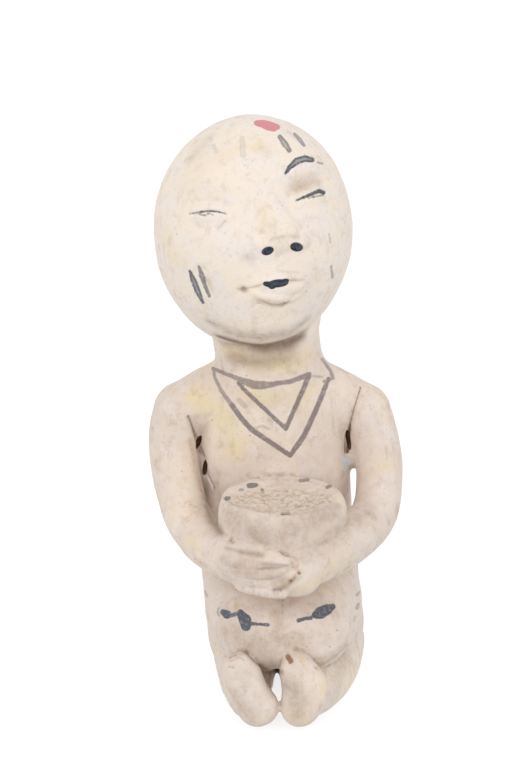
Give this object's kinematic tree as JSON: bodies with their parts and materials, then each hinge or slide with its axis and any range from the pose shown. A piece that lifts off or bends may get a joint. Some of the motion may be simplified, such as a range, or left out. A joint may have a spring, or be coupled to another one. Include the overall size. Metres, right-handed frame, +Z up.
{
  "type": "rain god figure",
  "caption": "Seated hand-built clay figure with a large bald head tilted up, open mouth, arms curved round a shallow bowl held against the belly, and bare feet together.",
  "frame": {"origin": "centre of the bounding box on the plane the figure sits on", "axes": "+Z up through the head, the figure faces -Y, +X is to the right of someone looking at its front"},
  "size_m": [0.0714, 0.074, 0.165],
  "materials": {
    "cream_slip": "matte"
  },
  "bodies": {
    "root": {"clay_figure": "cream_slip"}
  },
  "joints": []
}
